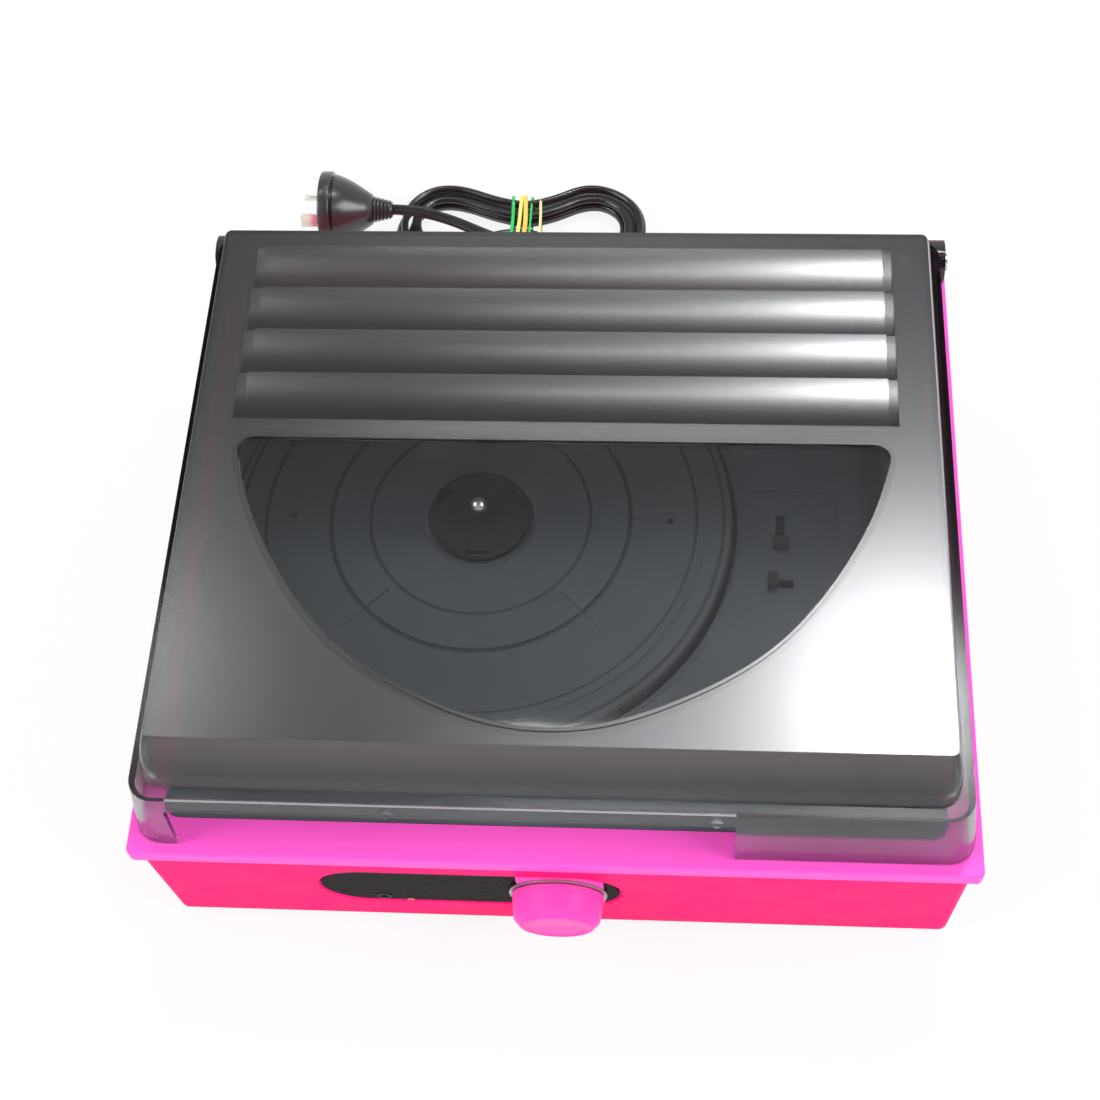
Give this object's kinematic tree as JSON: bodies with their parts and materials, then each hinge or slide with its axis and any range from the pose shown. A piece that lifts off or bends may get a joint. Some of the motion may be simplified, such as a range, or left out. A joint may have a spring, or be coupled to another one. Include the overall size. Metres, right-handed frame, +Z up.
{
  "type": "turntable",
  "caption": "Lidded turntable with built-in speakers: pink cabinet, smoke hinged cover with slats and a clear window, belt-driven platter, tonearm and hanked mains lead.",
  "frame": {"origin": "bottom centre of the whole object without its mains lead, on the surface it stands on", "axes": "+X to the right seen from the front, along the width; +Y to the rear; +Z up"},
  "size_m": [0.309, 0.3862, 0.131],
  "materials": {
    "pink_shell": "glossy hot pink moulded plastic",
    "pink_knob": "glossy pink moulded plastic",
    "clear_ring": "clear moulded plastic",
    "black_board": "fine matt black plastic",
    "black_mat": "matt dark grey plastic with moulded rings",
    "black_plastic": "black plastic",
    "black_gloss": "glossy black plastic",
    "rubber_feet": "black rubber",
    "belt_rubber": "black rubber",
    "steel": "bright steel",
    "chrome": "polished chrome",
    "brass": "turned brass",
    "nylon": "white nylon",
    "smoke_cover": "smoke tinted plastic, fine grained on top",
    "clear_window": "clear plastic",
    "red_lamp": "red lamp lens",
    "cartridge_red": "red plastic",
    "stylus_metal": "bright metal",
    "speaker_metal": "black painted basket with a magnet",
    "speaker_paper": "black paper cone",
    "circuit_board": "green circuit board",
    "core_iron": "laminated iron with a wound coil",
    "jack_black": "black plastic plate",
    "jack_metal": "nickel plated",
    "cord_black": "glossy black flexible plastic",
    "band_yellow": "yellow rubber band",
    "band_green": "green rubber band"
  },
  "bodies": {
    "cabinet": {"lower_cabinet": "pink_shell", "upper_cabinet": "pink_shell", "feet": "rubber_feet", "case_screws": "steel", "motor_board": "black_board", "board_screws": "steel", "bearing_bush": "brass", "thrust_pad": "nylon", "motor": "steel", "motor_bracket": "steel", "motor_grommets": "rubber_feet", "motor_screws": "steel", "drive_belt": "belt_rubber", "tonearm_base": "black_plastic", "arm_rest": "black_plastic", "cue_base": "black_plastic", "hinge_bracket_left": "black_plastic", "hinge_bracket_right": "black_plastic", "hinge_pins": "steel", "display_panel": "black_gloss", "knob_collar": "pink_shell", "knob_ring": "clear_ring", "volume_pot": "steel", "power_lamp": "red_lamp", "headphone_jack": "black_plastic", "speaker_frame_left": "speaker_metal", "speaker_frame_right": "speaker_metal", "speaker_cone_left": "speaker_paper", "speaker_cone_right": "speaker_paper", "amplifier_board": "circuit_board", "transformer": "core_iron", "jack_plate": "jack_black", "phono_jacks": "jack_metal", "strain_relief": "cord_black", "cord_lead": "cord_black", "cord_hank": "cord_black", "cord_tail": "cord_black", "band_yellow": "band_yellow", "band_green": "band_green", "plug_body": "cord_black", "plug_blades": "brass"},
    "cover": {"lid_shell": "smoke_cover", "lid_window": "clear_window"},
    "turntable_platter": {"platter": "black_mat", "spindle": "chrome"},
    "single_adapter": {"adapter_45": "black_plastic"},
    "belt_pulley": {"motor_pulley": "brass"},
    "knob": {"volume_knob": "pink_knob", "pot_shaft": "steel"},
    "gimbal": {"tonearm_gimbal": "black_plastic", "arm_pin": "steel"},
    "arm": {"tonearm": "black_plastic", "counterweight": "steel", "cartridge": "cartridge_red", "stylus": "stylus_metal"},
    "rest_clip": {"arm_clip": "black_plastic"},
    "lift_bar": {"cue_bar": "black_plastic"},
    "lift_lever": {"cue_lever": "black_plastic"},
    "speed_switch": {"speed_slider": "black_plastic"},
    "stop_switch": {"stop_slider": "black_plastic"}
  },
  "joints": [
    {"name": "cover_hinge", "type": "hinge", "parent": "cabinet", "child": "cover", "pos_m": [0, 0.1313, 0.095], "axis": [-1, 0, 0], "range_deg": [0, 85]},
    {"name": "platter_spin", "type": "hinge", "parent": "cabinet", "child": "turntable_platter", "pos_m": [-0.0333, 0.0109, 0.08], "axis": [0, 0, -1], "continuous": true},
    {"name": "adapter_lift", "type": "slide", "parent": "turntable_platter", "child": "single_adapter", "axis": [0, 0, 1], "range_m": [0, 0.014]},
    {"name": "pulley_spin", "type": "hinge", "parent": "cabinet", "child": "belt_pulley", "pos_m": [-0.1076, 0.0109, 0.075], "axis": [0, 0, -1], "continuous": true},
    {"name": "volume_turn", "type": "hinge", "parent": "cabinet", "child": "knob", "pos_m": [0.0016, -0.12644, 0.0415], "axis": [0, 0.9973, 0.0732], "range_deg": [0, 290]},
    {"name": "arm_swing", "type": "hinge", "parent": "cabinet", "child": "gimbal", "pos_m": [0.118, 0.084, 0.095], "axis": [0, 0, -1], "range_deg": [0, 48]},
    {"name": "arm_lift", "type": "hinge", "parent": "gimbal", "child": "arm", "pos_m": [0.118, 0.084, 0.095], "axis": [-1, 0, 0], "range_deg": [0, 8]},
    {"name": "clip_turn", "type": "hinge", "parent": "cabinet", "child": "rest_clip", "pos_m": [0.1252, -0.03, 0.1006], "axis": [0, -1, 0], "range_deg": [0, 95]},
    {"name": "lever_turn", "type": "hinge", "parent": "cabinet", "child": "lift_lever", "pos_m": [0.132, 0.058, 0.0865], "axis": [-1, 0, 0], "range_deg": [0, 60]},
    {"name": "bar_lift", "type": "slide", "parent": "cabinet", "child": "lift_bar", "axis": [0, 0, 1], "range_m": [0, 0.0038]},
    {"name": "speed_slide", "type": "slide", "parent": "cabinet", "child": "speed_switch", "axis": [0, 1, 0], "range_m": [0, 0.012]},
    {"name": "stop_slide", "type": "slide", "parent": "cabinet", "child": "stop_switch", "axis": [1, 0, 0], "range_m": [0, 0.006]}
  ],
  "couplings": [
    {"joint": "pulley_spin", "follows": "platter_spin", "ratio": 12.4},
    {"joint": "arm_lift", "follows": "lever_turn", "ratio": 0.13333},
    {"joint": "bar_lift", "follows": "lever_turn", "m_per_rad": 0.003629}
  ]
}
